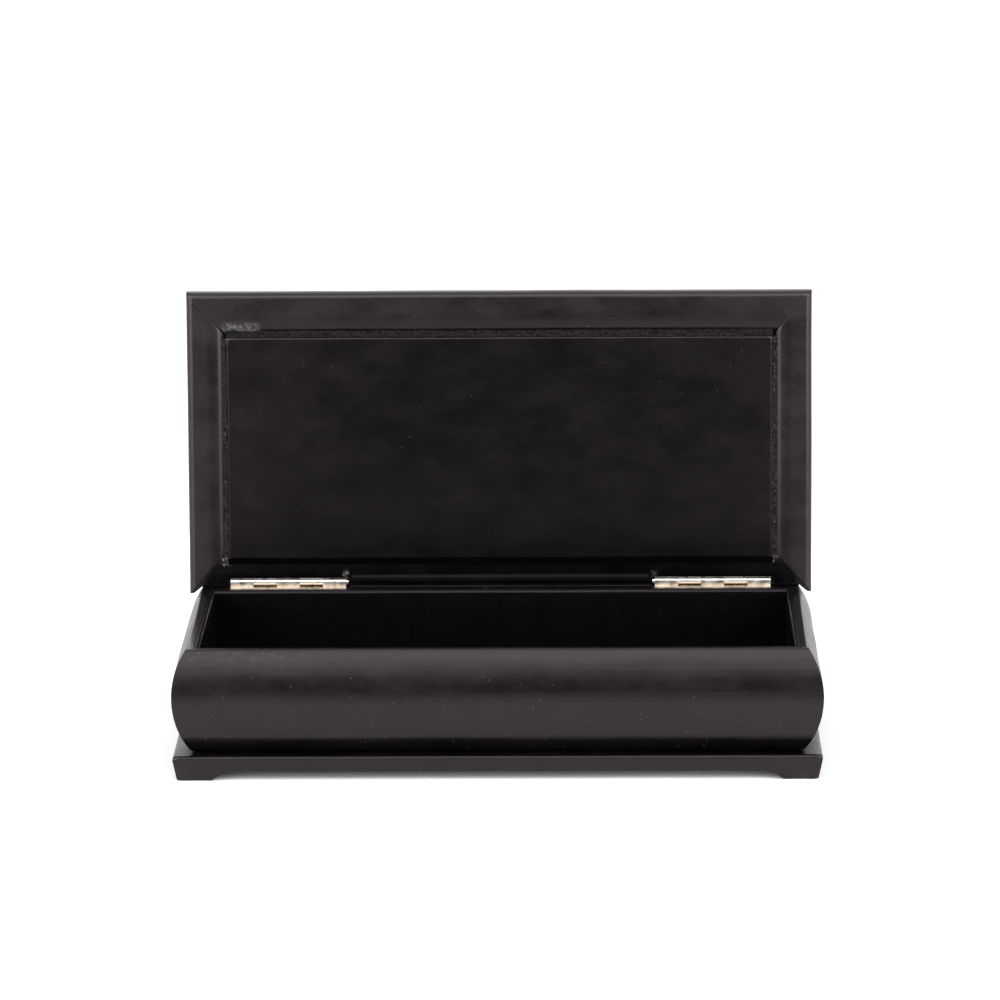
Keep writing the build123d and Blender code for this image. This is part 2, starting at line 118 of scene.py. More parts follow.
class Graph:
    """Node tree of one material, read in object coordinates."""

    def __init__(self, name: str) -> None:
        """Starts the tree.

        Args:
            name: The material's name.
        """
        self.material = bpy.data.materials.new(name)
        self.material.use_nodes = True
        self.tree = self.material.node_tree
        self.shader = self.tree.nodes["Principled BSDF"]
        self.place = self.node("ShaderNodeTexCoord").outputs["Object"]

    def node(self, kind: str, inputs: dict | None = None, **settings: object) -> bpy.types.Node:
        """Adds a node.

        Args:
            kind: Blender's name of the node type.
            inputs: Sockets or values by input name or number.
            settings: Attributes of the node.

        Returns:
            The node.
        """
        made = self.tree.nodes.new(kind)
        for key, value in settings.items():
            setattr(made, key, value)
        for key, value in (inputs or {}).items():
            self.feed(made.inputs[key], value)
        return made

    def feed(self, target: Socket, value: object) -> None:
        """Links a socket, or sets a value, on an input.

        Args:
            target: The input.
            value: A socket or a constant.
        """
        if isinstance(value, Socket):
            self.tree.links.new(value, target)
        elif target.type == "RGBA" and len(value) == 3:
            target.default_value = (*value, 1)
        else:
            target.default_value = value

    def noise(self, pattern: Pattern) -> Socket:
        """Soft noise.

        Args:
            pattern: Its size, octaves and stretch.

        Returns:
            Values about 0.5.
        """
        mapping = {"Vector": self.place, "Scale": pattern.stretch}
        values = {"Vector": self.node("ShaderNodeMapping", mapping).outputs[0],
                  "Scale": 1 / pattern.size, "Detail": pattern.detail, "Roughness": pattern.rough}
        return self.node("ShaderNodeTexNoise", values).outputs["Fac"]

    def spread(self, pattern: Pattern, start: float = 0.0, end: float = 1.0) -> Socket:
        """Soft noise mapped from its pattern's low and high values.

        Args:
            pattern: The noise.
            start: Result where there is none of it.
            end: Result where there is all of it.

        Returns:
            The mapped noise.
        """
        return self.span(self.noise(pattern), pattern.low, pattern.high, start, end)

    def cells(self, size: float, feature: str = "F1", output: str = "Distance") -> Socket:
        """Cell pattern.

        Args:
            size: Width of a cell, in metres.
            feature: Voronoi feature.
            output: Name of the output read.

        Returns:
            The output.
        """
        values = {"Vector": self.place, "Scale": 1 / size}
        return self.node("ShaderNodeTexVoronoi", values, feature=feature).outputs[output]

    def span(self, value: Socket, low: float, high: float, start: float = 0.0,
             end: float = 1.0) -> Socket:
        """Maps low..high to start..end, smoothly and clamped.

        Args:
            value: What is mapped.
            low: Value that gives start.
            high: Value that gives end.
            start: First result.
            end: Last result.

        Returns:
            The mapped value.
        """
        values = {0: value, 1: low, 2: high, 3: start, 4: end}
        made = self.node("ShaderNodeMapRange", values, interpolation_type="SMOOTHSTEP")
        return made.outputs[0]

    def maths(self, kind: str, first: object, second: object = 0.0) -> Socket:
        """Arithmetic on two values."""
        return self.node("ShaderNodeMath", {0: first, 1: second}, operation=kind).outputs[0]

    def along(self, axis: Axis) -> Socket:
        """One object coordinate, in metres."""
        return self.node("ShaderNodeSeparateXYZ", {0: self.place}).outputs[axis.value]

    def window(self, axis: Axis, low: float, high: float, soft: float) -> Socket:
        """Soft window on one coordinate.

        Args:
            axis: The coordinate.
            low: Where the window opens, in metres.
            high: Where it closes.
            soft: Half the width of its soft edges.

        Returns:
            1 inside the window and 0 outside.
        """
        value = self.along(axis)
        rising = self.span(value, low - soft, low + soft)
        falling = self.span(value, high - soft, high + soft, 1.0, 0.0)
        return self.maths("MULTIPLY", rising, falling)

    def blend(self, factor: object, first: object, second: object) -> Socket:
        """Mixes two colours.

        Args:
            factor: Share of the second.
            first: Colour or socket.
            second: Colour or socket.

        Returns:
            The mixed colour.
        """
        mixed = self.node("ShaderNodeMix", data_type="RGBA")
        for index, value in ((0, factor), (6, first), (7, second)):
            self.feed(mixed.inputs[index], value)
        return mixed.outputs[2]

    def bump(self, height: Socket, depth: float, under: Socket | None = None) -> Socket:
        """Relief.

        Args:
            height: Height, 0 to 1.
            depth: Real depth, in metres.
            under: Relief that this one lies on.

        Returns:
            The normal.
        """
        values = {"Height": height, "Distance": depth, "Strength": 1.0}
        if under is not None:
            values["Normal"] = under
        return self.node("ShaderNodeBump", values).outputs[0]

    def surface(self, colour: object, roughness: object, normal: Socket | None = None,
                metal: float = 0.0, gloss: float = 0.5,
                tint: Colour = (1.0, 1.0, 1.0)) -> bpy.types.Material:
        """Feeds the surface shader.

        Args:
            colour: Base colour.
            roughness: Roughness.
            normal: Relief.
            metal: Metallic share.
            gloss: Specular level.
            tint: Colour of the mirrored light.

        Returns:
            The finished material.
        """
        self.feed(self.shader.inputs["Base Color"], colour)
        self.feed(self.shader.inputs["Roughness"], roughness)
        self.shader.inputs["Metallic"].default_value = metal
        self.shader.inputs["Specular IOR Level"].default_value = gloss
        self.shader.inputs["Specular Tint"].default_value = (*tint, 1)
        if normal is not None:
            self.feed(self.shader.inputs["Normal"], normal)
        return self.material


@dataclass(frozen=True)
class ScuffOrPaintedLight:
    """A rubbed, soiled or polished place on leather, or a place of painted shade or a painted
    highlight: a box, in millimetres.
    """

    low: Triple
    high: Triple
    colour: Colour
    soft: float = 0.5 * MM  # half the width of the box's soft edges
    strength: float = 1.0
    spot: float = 1.2 * MM  # width of its spots, or 0 where it is even
    cover: float = 0.0  # above 0 the spots spread and meet
    dulling: float = 0.25  # what it adds to the roughness, below 0 for a polish

    def spots(self) -> Pattern:
        """Noise that breaks the place up into spots."""
        return Pattern(self.spot, 6, 0.7, low=0.44 - self.cover, high=0.68 - self.cover)


@dataclass(frozen=True)
class Dust:
    """One size of dust speck, each in the middle of a cell of its own."""

    cell: float  # width of a cell, in metres
    reach: float  # radius of a speck, in the cell pattern's distance
    share: float  # share of the cells with a speck, before the leather's specks multiply it
    core: float = 0.6  # share of the radius that is solid
    softness: float = 0.25  # range of chance over which specks fade in
    dulling: float = 0.4  # what a speck adds to the roughness


@dataclass(frozen=True)
class Leather:
    """Thin black leather, pared and glued down, with pores, dust, worn places, and places of
    painted shade and painted highlights.
    """

    name: str
    dark: Colour = (0.0007, 0.0005, 0.0008)
    light: Colour = (0.0022, 0.0018, 0.0023)
    dust: Colour = (0.17, 0.16, 0.155)
    tint: Colour = PURPLISH
    smooth: float = 0.21
    dull: float = 0.31
    gloss: float = 0.5  # specular level
    tone: Pattern = Pattern(14 * MM, 5, 0.6)
    polish: Pattern = Pattern(9 * MM, 6, 0.65, (0.5, 1, 1), high=0.72)
    creases: Pattern = Pattern(3.2 * MM, 5, 0.6, (0.4, 1, 1))
    crease_depth: float = 0.02 * MM
    pore: float = 0.42 * MM
    pore_edge: float = 0.6  # distance from a pore's middle where it is level
    pore_depth: float = 0.008 * MM
    specks: float = 0.5
    dusts: tuple[Dust, ...] = (Dust(4.2 * MM, 0.034, 0.5), Dust(2.3 * MM, 0.065, 0.3))
    scuffs_and_painted_light: tuple[ScuffOrPaintedLight, ...] = ()

    def material(self) -> bpy.types.Material:
        """Builds the leather's material."""
        graph = Graph(self.name)
        colour = graph.blend(graph.spread(self.tone), self.dark, self.light)
        rough = graph.spread(self.polish, self.smooth, self.dull)
        for dust in self.dusts:
            colour, rough = self.dusted(graph, dust, colour, rough)
        for marking in self.scuffs_and_painted_light:
            colour, rough = self.scuffed_or_painted(graph, marking, colour, rough)
        creases = graph.bump(graph.noise(self.creases), self.crease_depth)
        pores = graph.span(graph.cells(self.pore, "SMOOTH_F1"), 0.0, self.pore_edge)
        normal = graph.bump(pores, self.pore_depth, creases)
        return graph.surface(colour, rough, normal, gloss=self.gloss, tint=self.tint)

    def dusted(self, graph: Graph, dust: Dust, colour: Socket,
               rough: Socket) -> tuple[Socket, Socket]:
        """Scatters specks of dust of one size.

        Args:
            graph: The material's graph.
            dust: The specks.
            colour: Colour so far.
            rough: Roughness so far.

        Returns:
            Colour and roughness with the dust.
        """
        near = graph.span(graph.cells(dust.cell), dust.reach * dust.core, dust.reach, 1.0, 0.0)
        tint = graph.cells(dust.cell, output="Color")
        chance = graph.node("ShaderNodeSeparateColor", {0: tint}).outputs[0]
        least = 1 - dust.share * self.specks
        speck = graph.maths("MULTIPLY", near, graph.span(chance, least, least + dust.softness))
        dulled = graph.maths("ADD", rough, graph.maths("MULTIPLY", speck, dust.dulling))
        return graph.blend(speck, colour, self.dust), dulled

    def scuffed_or_painted(self, graph: Graph, marking: ScuffOrPaintedLight, colour: Socket,
                rough: Socket) -> tuple[Socket, Socket]:
        """Rubs one place, or paints shade or a highlight on it.

        Args:
            graph: The material's graph.
            marking: The place.
            colour: Colour so far.
            rough: Roughness so far.

        Returns:
            Colour and roughness with the scuff.
        """
        mask = graph.spread(marking.spots(), 0.0, marking.strength) if marking.spot else marking.strength
        for axis in Axis:
            low, high = marking.low[axis.value] * MM, marking.high[axis.value] * MM
            mask = graph.maths("MULTIPLY", mask, graph.window(axis, low, high, marking.soft))
        dulled = graph.maths("ADD", rough, graph.maths("MULTIPLY", mask, marking.dulling))
        return graph.blend(mask, colour, marking.colour), dulled


@dataclass(frozen=True)
class Cloth:
    """Dark matt cloth of the lining, the floor pad and the black strip behind the panel that is
    painted shade.
    """

    name: str
    dark: Colour = (0.0004, 0.0003, 0.0005)
    light: Colour = (0.0012, 0.0009, 0.0013)
    rough: float = 0.26
    rough_range: float = 0.02
    gloss: float = 0.32
    warp: Pattern = Pattern(0.5 * MM, 2, 0.5, (1, 1, 4))
    weft: Pattern = Pattern(0.5 * MM, 2, 0.5, (4, 4, 1))
    weave_depth: float = 0.02 * MM
    tone: Pattern = Pattern(0.9 * MM, 5)
    polish: Pattern = Pattern(5 * MM, low=0.2, high=0.8)

    def material(self) -> bpy.types.Material:
        """Builds the cloth's material."""
        graph = Graph(self.name)
        weave = graph.maths("ADD", graph.noise(self.warp), graph.noise(self.weft))
        colour = graph.blend(graph.spread(self.tone), self.dark, self.light)
        rough = graph.spread(self.polish, self.rough - self.rough_range,
                             self.rough + self.rough_range)
        relief = graph.bump(weave, self.weave_depth)
        return graph.surface(colour, rough, relief, gloss=self.gloss, tint=PURPLISH)


@dataclass(frozen=True)
class Wood:
    """Bare wood, stained black where the leather ends."""

    name: str
    early: Colour = (0.010, 0.007, 0.006)
    late: Colour = (0.0040, 0.0030, 0.0030)
    early_rough: float = 0.62
    late_rough: float = 0.48
    grain: Pattern = Pattern(1.1 * MM, 6, 0.6, (0.06, 1, 1), 0.38, 0.64)
    grain_depth: float = 0.04 * MM

    def material(self) -> bpy.types.Material:
        """Builds the wood's material."""
        graph = Graph(self.name)
        grain = graph.spread(self.grain)
        colour = graph.blend(grain, self.early, self.late)
        rough = graph.span(grain, 0.0, 1.0, self.early_rough, self.late_rough)
        return graph.surface(colour, rough, graph.bump(grain, self.grain_depth))


@dataclass(frozen=True)
class Plate:
    """Nickel plate on brass, with fine drawn scratches and some yellow tarnish."""

    name: str
    bright: Colour = (0.86, 0.84, 0.80)
    tarnish: Colour = (0.74, 0.58, 0.42)
    tarnish_heights: Pair = (42.1 * MM, 43.3 * MM)  # where it is heaviest, and where it ends
    tarnish_most: float = 0.75
    tarnish_least: float = 0.35  # share of it that is left in its thin patches
    patches: Pattern = Pattern(3 * MM, 5, 0.6, high=0.6)
    polish: Pattern = Pattern(2.5 * MM, 4)
    smooth: float = 0.24
    dull: float = 0.38
    drawn: Pattern = Pattern(0.35 * MM, 3, 0.6, (0.05, 1, 1))
    drawn_depth: float = 0.006 * MM

    def material(self) -> bpy.types.Material:
        """Builds the plate's material."""
        graph = Graph(self.name)
        low = graph.span(graph.along(Axis.Z), *self.tarnish_heights, self.tarnish_most, 0.0)
        patches = graph.spread(self.patches, self.tarnish_least, 1.0)
        stain = graph.maths("MULTIPLY", low, patches)
        colour = graph.blend(stain, self.bright, self.tarnish)
        rough = graph.spread(self.polish, self.smooth, self.dull)
        scratches = graph.bump(graph.noise(self.drawn), self.drawn_depth)
        return graph.surface(colour, rough, scratches, metal=1.0)


@dataclass(frozen=True)
class Glue:
    """Old glue and frayed leather fibre at the panel's edge."""

    name: str
    dark: Colour = (0.0015, 0.0012, 0.0015)
    fleck: Colour = (0.024, 0.020, 0.022)
    gloss: float = 0.12
    lumps: Pattern = Pattern(0.6 * MM, 8, 0.75, low=0.46, high=0.66)
    depth: float = 0.14 * MM
    rough_ends: Pair = (0.4, 0.7)  # noise between which the roughness rises
    smooth: float = 0.4
    dull: float = 0.8

    def material(self) -> bpy.types.Material:
        """Builds the glue's material."""
        graph = Graph(self.name)
        lumps = graph.noise(self.lumps)
        flecks = graph.span(lumps, self.lumps.low, self.lumps.high)
        colour = graph.blend(flecks, self.dark, self.fleck)
        rough = graph.span(lumps, *self.rough_ends, self.smooth, self.dull)
        relief = graph.bump(lumps, self.depth)
        return graph.surface(colour, rough, relief, gloss=self.gloss, tint=PURPLISH)


def drift(point: Vector) -> Vector:
    """Smooth noise in three directions that is the same on every run.

    Args:
        point: Place, in lengths of one wave.

    Returns:
        The noise, each part from -1 to 1.
    """
    return Vector([noise.noise(point + offset) for offset in DRIFT_OFFSETS])


def wander(point: Vector, depth: float, fine: float) -> Vector:
    """Hand-made unevenness of the whole box, in step for pieces that touch.

    Args:
        point: Place, in metres.
        depth: Size of the slow waves.
        fine: Size of the short waves.

    Returns:
        The offset.
    """
    slow = drift(point / SLOW_WAVE) * depth
    return slow + drift(point / SHORT_WAVE + SHORT_OFFSET) * fine


def show(shape: bmesh.types.BMesh, name: str, material: bpy.types.Material, body: str,
         crease: float = 40.0) -> bpy.types.Object:
    """Turns a bmesh into a finished piece that rides on a body.

    Args:
        shape: The shape, freed here.
        name: The piece's name.
        material: Its material.
        body: The body that it rides on.
        crease: Edges sharper than this stay sharp, in degrees.

    Returns:
        The piece.
    """
    mesh = bpy.data.meshes.new(name)
    shape.to_mesh(mesh)
    shape.free()
    mesh.polygons.foreach_set("use_smooth", [True] * len(mesh.polygons))
    mesh.set_sharp_from_angle(angle=radians(crease))
    mesh.materials.append(material)
    piece = bpy.data.objects.new(name, mesh)
    bpy.context.scene.collection.objects.link(piece)
    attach(piece, body)
    LOG.info("%s: %d faces on %s", name, len(mesh.polygons), body)
    return piece


@dataclass
class Skin:
    """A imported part, merged, eased along its sharp edges, cut finer and made uneven."""

    node: str
    run: Axis
    body: str
    slot: str
    step: float = 2.0 * MM
    across: tuple[Axis, float] | None = None  # second direction cut, and its step
    ease: float = 0.12 * MM
    segments: int = 2
    depth: float = 0.10 * MM
    fine: float = 0.022 * MM
    shift: Callable[[Vector, Vector], Vector] | None = None
    seat: float = 1.0  # height from which the piece stays even, under the closed lid

    def build(self, source: bpy.types.Object, material: bpy.types.Material) -> bpy.types.Object:
        """Makes the skin in place of its part.

        Args:
            source: The part's object.
            material: The skin's material.

        Returns:
            The skin.
        """
        shape = bmesh.new()
        shape.from_mesh(source.data)
        bmesh.ops.remove_doubles(shape, verts=shape.verts, dist=MERGE_REACH)
        bmesh.ops.dissolve_limit(shape, angle_limit=FLAT_ANGLE, verts=shape.verts,
                                 edges=shape.edges)
        if self.ease:
            sharp = [edge for edge in shape.edges
                     if edge.is_manifold and edge.calc_face_angle(0) > SHARP_ANGLE]
            bmesh.ops.bevel(shape, geom=sharp, offset=self.ease, segments=self.segments,
                            profile=0.5, affect="EDGES", clamp_overlap=True, material=-1)
        self.cut(shape, self.run, self.step)
        if self.across:
            self.cut(shape, *self.across)
        if self.shift:
            middle = sum((vertex.co for vertex in shape.verts), Vector()) / len(shape.verts)
            for vertex in shape.verts:
                vertex.co += self.shift(vertex.co, middle)
        for vertex in shape.verts:
            below = max(0.0, min(1.0, (self.seat - vertex.co.z) / SEAT_FADE))
            vertex.co += wander(vertex.co, self.depth, self.fine) * below
        piece = show(shape, f"{self.node}_skin", material, self.body)
        piece.modifiers.new("even normals", "WEIGHTED_NORMAL").keep_sharp = True
        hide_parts(self.node)
        return piece

    @staticmethod
    def cut(shape: bmesh.types.BMesh, axis: Axis, step: float) -> None:
        """Cuts a shape into lengths that are nearly even.

        Args:
            shape: The shape.
            axis: Direction of the lengths.
            step: One length, in metres.
        """
        places = [vertex.co[axis.value] for vertex in shape.verts]
        low, high = min(places), max(places)
        count = max(1, round((high - low) / step))
        normal = Vector((0, 0, 0))
        normal[axis.value] = 1
        for index in range(1, count):
            place = index + CUT_STRAY * sin(index * CUT_RHYTHM) / 2
            point = normal * (low + (high - low) * place / count)
            geometry = [*shape.verts, *shape.edges, *shape.faces]
            bmesh.ops.bisect_plane(shape, geom=geometry, dist=CUT_REACH, plane_co=point,
                                   plane_no=normal)


# Worn places on the walls' tops, and painted shade in the crevice on the rear wall's top
WALL_WEAR_AND_SHADE = (
    ScuffOrPaintedLight((-98.9, -48.0, 41.2), (-95.9, 42.8, 42.6), WORN_GREY_AND_HIGHLIGHT, soft=0.15 * MM, strength=0.22,
          spot=0.5 * MM),
    ScuffOrPaintedLight((95.9, -48.0, 41.2), (98.9, 42.8, 42.6), WORN_GREY_AND_HIGHLIGHT, soft=0.15 * MM, strength=0.22,
          spot=0.5 * MM),
    ScuffOrPaintedLight((-98.0, -52.0, 38.6), (-60.0, -48.0, 41.4), WORN_GREY_AND_HIGHLIGHT, strength=0.10, spot=2.0 * MM),
    # painted shade: the crevice between the rear wall's top and the lid's rear rail, dark and
    # smoother
    ScuffOrPaintedLight((-92.0, 40.6, 41.0), (92.0, 44.0, 42.4), SMOOTH_DARK_AND_SHADE, soft=0.2 * MM, spot=0.0, dulling=-0.13),
    ScuffOrPaintedLight((-98.0, -48.0, 41.2), (-92.0, 42.8, 42.6), SMOOTH_DARK_AND_SHADE, soft=0.2 * MM, spot=0.0,
          dulling=-0.15),
    ScuffOrPaintedLight((92.0, -48.0, 41.2), (98.0, 42.8, 42.6), SMOOTH_DARK_AND_SHADE, soft=0.2 * MM, spot=0.0,
          dulling=-0.15),
)
PLINTH_WEAR = (
    ScuffOrPaintedLight((-110, -60, -1), (110, 60, 3.5), BROWN, soft=0.3 * MM, strength=0.3, spot=5 * MM),
)
# Worn and torn places on the lid, and two painted highlights: along the rear rail and at its left
# inner corner
LID_WEAR_AND_HIGHLIGHTS = (
    ScuffOrPaintedLight((-90.5, 40, 125.4), (-78.9, 52, 129.3), (0.11, 0.11, 0.115), soft=1.3 * MM,
          strength=0.7, spot=1.1 * MM, cover=0.07),
    # painted highlight: a lighter band along the rear rail's rounded lower edge, between the hinges
    ScuffOrPaintedLight((-48.9, 40, 44.7), (48.9, 52, 45.8), WORN_GREY_AND_HIGHLIGHT, soft=0.3 * MM, strength=0.08, spot=0.0,
          dulling=0.1),
    ScuffOrPaintedLight((-51.9, 40, 44.3), (-49.9, 52, 47.4), (0.2, 0.18, 0.18), strength=0.85,
          spot=0.7 * MM),
    ScuffOrPaintedLight((49.9, 40, 43.9), (51.5, 52, 47.0), (0.15, 0.13, 0.14), strength=0.8, spot=0.7 * MM),
    # painted highlight: a lit grey patch at the inner corner of the left stile and the rear rail
    ScuffOrPaintedLight((-91.6, 40, 49.0), (-88.8, 52, 51.2), (0.25, 0.23, 0.22), strength=0.9,
          spot=0.9 * MM),
)


@dataclass
class Body:
    """The box below its lid: cushion walls, lining, floor pad and plinth."""

    leather: Leather = Leather("body_leather", specks=1.6, smooth=0.23, dull=0.31,
                               scuffs_and_painted_light=WALL_WEAR_AND_SHADE)
    plinth: Leather = Leather("plinth_leather", specks=0.8, smooth=0.22, dull=0.30,
                              scuffs_and_painted_light=PLINTH_WEAR)
    lining: Cloth = Cloth("black_lining")
    wall_wave: float = 0.28 * MM
    seat: float = 41.0 * MM  # just under the walls' tops

    def build(self, nodes: dict[str, bpy.types.Object]) -> None:
        """Dresses the body.

        Args:
            nodes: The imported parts.
        """
        leather, plinth = self.leather.material(), self.plinth.material()
        lining = self.lining.material()
        for side, run in SIDES.items():
            wall, base, inside = f"wall_{side}_leather", f"plinth_{side}_leather", f"lining_{side}"
            Skin(wall, run, "body", "leather", depth=self.wall_wave,
                 seat=self.seat).build(nodes[wall], leather)
            Skin(base, run, "body", "leather", ease=0.2 * MM,
                 depth=0.06 * MM).build(nodes[base], plinth)
            Skin(inside, run, "body", "lining", ease=0.0,
                 depth=0.05 * MM).build(nodes[inside], lining)
        Skin("floor_pad", Axis.X, "body", "lining", step=4 * MM, across=(Axis.Y, 4 * MM),
             ease=0.3 * MM).build(nodes["floor_pad"], lining)


@dataclass(frozen=True)
class Filling:
    """How a strip round the panel lies, with the lid closed."""

    height: float  # its face, from the hinge axis
    lumps: float  # size of its lumps


@dataclass
class Lid:
    """The open lid: mitred frame, board, panel and the strips round it."""

    hinge: Vector
    opening: float  # from closed, in radians
    leather: Leather = Leather("frame_leather", specks=0.6, smooth=0.26, dull=0.35, gloss=0.68,
                               crease_depth=0.012 * MM, scuffs_and_painted_light=LID_WEAR_AND_HIGHLIGHTS)
    rail: Leather = Leather("rear_rail_leather", specks=0.3, smooth=0.11, dull=0.17,
                            scuffs_and_painted_light=LID_WEAR_AND_HIGHLIGHTS)
    panel: Leather = Leather("panel_leather", specks=0.5, smooth=0.22, dull=0.28, gloss=0.48)
    outside: Leather = Leather("lid_outside_leather", specks=0.7)
    glue: Glue = Glue("glue")
    frayed: Glue = Glue("frayed_glue", fleck=(0.05, 0.043, 0.046), depth=0.05 * MM)
    # painted shade: black matt strip over the rear rail's inner edge, standing in for the shaded
    # gap behind the panel
    shade_strip: Cloth = Cloth("black_shade_strip", rough=0.6, gloss=0.01)
    front_gap: Pair = (-83.5 * MM, -81.3 * MM)  # from the hinge axis
    side_gap: Pair = (89.5 * MM, 91.2 * MM)
    rear_gap: Pair = (-7.9 * MM, -6.1 * MM)
    front_filling: Filling = Filling(0.05 * MM, 0.30 * MM)
    side_filling: Filling = Filling(-0.25 * MM, 0.08 * MM)
    rear_shade_filling: Filling = Filling(-1.28 * MM, 0.05 * MM)
    corner: Pair = (102.5 * MM, -96.2 * MM)  # outer corner, from the hinge axis
    length: float = 100.0 * MM
    mitre: Pair = (12.5 * MM, 13.9 * MM)
    crack: float = 0.30 * MM  # open mitre at the frame's inner edge
    crack_outside: float = 0.02 * MM  # how far each side is drawn back all along the mitre
    crack_reach: float = 1.2 * MM  # distance from the mitre at which nothing is drawn back

    @property
    def turn(self) -> Matrix:
        """Turn from the closed lid, with its hinge axis at the origin, to the open one."""
        return Matrix.Translation(self.hinge) @ Matrix.Rotation(-self.opening, 4, "X")

    def build(self, nodes: dict[str, bpy.types.Object]) -> None:
        """Dresses the lid.

        Args:
            nodes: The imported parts.
        """
        leather, rail, panel = self.leather.material(), self.rail.material(), self.panel.material()
        for name, run in FRAME.items():
            node = f"lid_{name}_leather"
            Skin(node, run, "lid", "leather", ease=0.15 * MM, shift=self.opened_mitre).build(
                nodes[node], rail if name == "rear_rail" else leather)
        Skin("lid_panel_leather", Axis.X, "lid", "panel_leather", step=3 * MM,
             across=(Axis.Z, 3 * MM), ease=0.0, depth=0.12 * MM).build(
            nodes["lid_panel_leather"], panel)
        Skin("lid_top_leather", Axis.X, "lid", "leather", step=3 * MM,
             across=(Axis.Z, 3 * MM), ease=0.0).build(
            nodes["lid_top_leather"], self.outside.material())
        self.fill_gaps()

    def opened_mitre(self, point: Vector, middle: Vector) -> Vector:
        """How far shrinkage has drawn a point of the frame's leather back from its mitre.

        Args:
            point: The point, with the lid open.
            middle: Middle of its piece.

        Returns:
            The offset.
        """
        turn = self.turn
        place, centre = turn.inverted() @ point, turn.inverted() @ middle
        side = 1 if place.x > 0 else -1
        rear = place.y > self.corner[1] / 2
        corner = Vector((side * self.corner[0], self.corner[1] + (self.length if rear else 0), 0))
        inwards = Vector((-side * self.mitre[0], self.mitre[1] * (-1 if rear else 1), 0))
        across = inwards.cross(Vector((0, 0, 1))).normalized()
        if (centre - corner).dot(across) < 0:
            across.negate()
        share = (place - corner).dot(inwards) / inwards.length_squared
        near = max(0.0, 1 - abs((place - corner).dot(across)) / self.crack_reach)
        opened = self.crack / 2 * max(0.0, min(1.0, share)) ** 2 + self.crack_outside
        return turn.to_3x3() @ (across * opened * near)

    def fill_gaps(self) -> None:
        """Fills the gaps round the panel: glue in front and at the sides, and behind it a black
        strip that is painted shade.
        """
        glue, frayed = self.glue.material(), self.frayed.material()
        shade_strip = self.shade_strip.material()
        (side, outer), (front, inner), (rear, last) = self.side_gap, self.front_gap, self.rear_gap
        self.fill("glue_front", (-side, side), (front, inner), self.front_filling, glue)
        self.fill("glue_left", (-outer, -side), (inner, rear), self.side_filling, frayed)
        self.fill("glue_right", (side, outer), (inner, rear), self.side_filling, frayed)
        # painted shade: black strip along the rear rail's inner edge
        self.fill("rear_shade_strip", (-side, side), (rear, last), self.rear_shade_filling, shade_strip)

    def fill(self, name: str, width: Pair, depth: Pair, filling: Filling,
             material: bpy.types.Material) -> None:
        """Lays one uneven strip, drawn with the lid closed.

        Args:
            name: The piece's name.
            width: Its ends across the lid.
            depth: Its ends from front to back.
            filling: How it lies.
            material: Its material.
        """
        half = Vector((width[1] - width[0], depth[1] - depth[0], 0)) / 2
        middle = Vector((width[0] + half.x, depth[0] + half.y, filling.height))
        cells = [max(4, round(2 * size / FILL_CELL)) for size in half.xy]
        shape = bmesh.new()
        bmesh.ops.create_grid(shape, x_segments=cells[0], y_segments=cells[1], size=1)
        bmesh.ops.scale(shape, vec=(half.x, half.y, 1), verts=shape.verts)
        bmesh.ops.translate(shape, vec=middle, verts=shape.verts)
        for vertex in shape.verts:
            coarse = noise.noise(vertex.co / COARSE_LUMP)
            rise = noise.noise(vertex.co / FINE_LUMP) + COARSE_SHARE * coarse
            vertex.co.z -= filling.lumps * rise
        bmesh.ops.solidify(shape, geom=shape.faces, thickness=FILL_THICKNESS)
        bmesh.ops.recalc_face_normals(shape, faces=shape.faces)
        bmesh.ops.transform(shape, matrix=self.turn, verts=shape.verts)
        show(shape, f"panel_{name}", material, "lid")


@dataclass
class Hinges:
    """The two butt hinges: knuckled leaves, pins and screws."""

    plate: Plate = Plate("nickel_plate")
    ease: float = 0.07 * MM
    step: float = 6 * MM

    def build(self, nodes: dict[str, bpy.types.Object]) -> None:
        """Dresses the hinges.

        Args:
            nodes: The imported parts.
        """
        plate = self.plate.material()
        for name in sorted(node for node in nodes if node.startswith("hinge_")):
            if name.endswith("screws"):
                nodes[name].data.materials.clear()
                nodes[name].data.materials.append(plate)
            else:
                body = "lid" if name.endswith("lid_leaf") else "body"
                Skin(name, Axis.X, body, "nickel", step=self.step, ease=self.ease, depth=0.0,
                     fine=0.0).build(nodes[name], plate)


@dataclass(frozen=True)
class Lamp:
    """A soft rectangular lamp that looks at the box."""

    name: str
    place: Triple
    size: Pair  # width and height, in metres
    power: float  # in watts

    def hang(self, aim: Vector) -> None:
        """Hangs the lamp, unseen by the camera.

        Args:
            aim: What it looks at.
        """
        data = bpy.data.lights.new(self.name, "AREA")
        data.shape = "RECTANGLE"
        data.size, data.size_y = self.size
        data.energy = self.power
        lamp = bpy.data.objects.new(self.name, data)
        lamp.location = self.place
        lamp.rotation_mode = "QUATERNION"
        lamp.rotation_quaternion = (aim - Vector(self.place)).to_track_quat("-Z", "Y")
        lamp.visible_camera = False
        bpy.context.scene.collection.objects.link(lamp)


